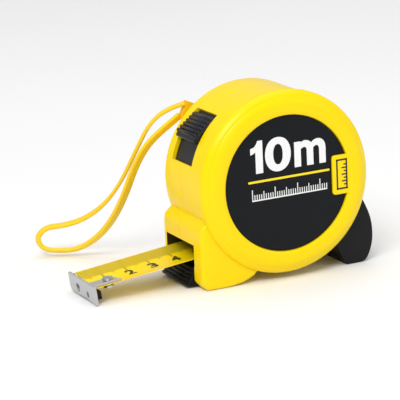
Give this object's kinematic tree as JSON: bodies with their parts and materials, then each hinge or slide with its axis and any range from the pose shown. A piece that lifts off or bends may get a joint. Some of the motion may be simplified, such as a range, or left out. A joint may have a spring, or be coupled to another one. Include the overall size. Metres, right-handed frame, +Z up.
{
  "type": "tape measure",
  "caption": "Pocket tape measure with a round case, sliding thumb lock, finger brake, sprung hollow blade with a loose end hook, belt clip and wrist strap.",
  "frame": {"origin": "on the floor in the middle of the rear heel's foot, in the plane where the two housing halves meet", "axes": "+Z up; -X the way the blade leaves, +X the rear heel; -Y the printed side, +Y the side with the belt clip"},
  "size_m": [0.1216, 0.0918, 0.0765],
  "materials": {
    "housing_yellow": "gloss",
    "black_plastic": "satin",
    "lock_plastic": "satin",
    "black_rubber": "matt",
    "blade_yellow": "satin",
    "plain_steel": "brushed",
    "bright_steel": "polished",
    "reel_plastic": "satin",
    "strap_yellow": "woven",
    "anchor_orange": "satin"
  },
  "bodies": {
    "case": {"housing_near": "housing_yellow", "housing_far": "housing_yellow", "side_disc_near": "black_plastic", "side_disc_far": "black_plastic", "rear_heel": "black_rubber", "housing_screws": "plain_steel", "spindle": "plain_steel", "return_spring": "plain_steel", "brake_pin": "plain_steel", "brake_spring": "plain_steel", "strap_anchor": "anchor_orange", "strap_pin": "plain_steel", "wrist_strap": "strap_yellow", "belt_clip": "bright_steel", "clip_screw": "plain_steel"},
    "reel": {"reel_drum": "reel_plastic", "reel_cover": "reel_plastic", "blade_coil": "blade_yellow"},
    "blade": {"blade": "blade_yellow", "hook_rivet": "bright_steel", "hook_bumper": "black_rubber"},
    "hook": {"end_hook": "bright_steel"},
    "lock": {"lock_slider": "lock_plastic", "lock_shoe": "black_rubber"},
    "brake": {"finger_brake": "black_plastic"}
  },
  "joints": [
    {"name": "blade_slide", "type": "slide", "parent": "case", "child": "blade", "axis": [0.9936, 0, 0.1132], "range_m": [-0.03, 0.034]},
    {"name": "reel_spin", "type": "hinge", "parent": "case", "child": "reel", "pos_m": [-0.0328, 0, 0.0395], "axis": [0, -1, 0], "range_deg": [-80, 92]},
    {"name": "hook_play", "type": "slide", "parent": "blade", "child": "hook", "axis": [-0.9936, 0, -0.1132], "range_m": [0, 0.0005]},
    {"name": "lock_slide", "type": "hinge", "parent": "case", "child": "lock", "pos_m": [-0.0328, 0, 0.0395], "axis": [0, -1, 0], "range_deg": [0, 11.5]},
    {"name": "brake_press", "type": "hinge", "parent": "case", "child": "brake", "pos_m": [-0.0531, 0, 0.0049], "axis": [0, 1, 0], "range_deg": [0, 4.5], "stiffness_Nm_per_rad": 0.05, "springref_deg": -5.73}
  ],
  "couplings": [
    {"joint": "reel_spin", "follows": "blade_slide", "rad_per_m": 44.843}
  ]
}
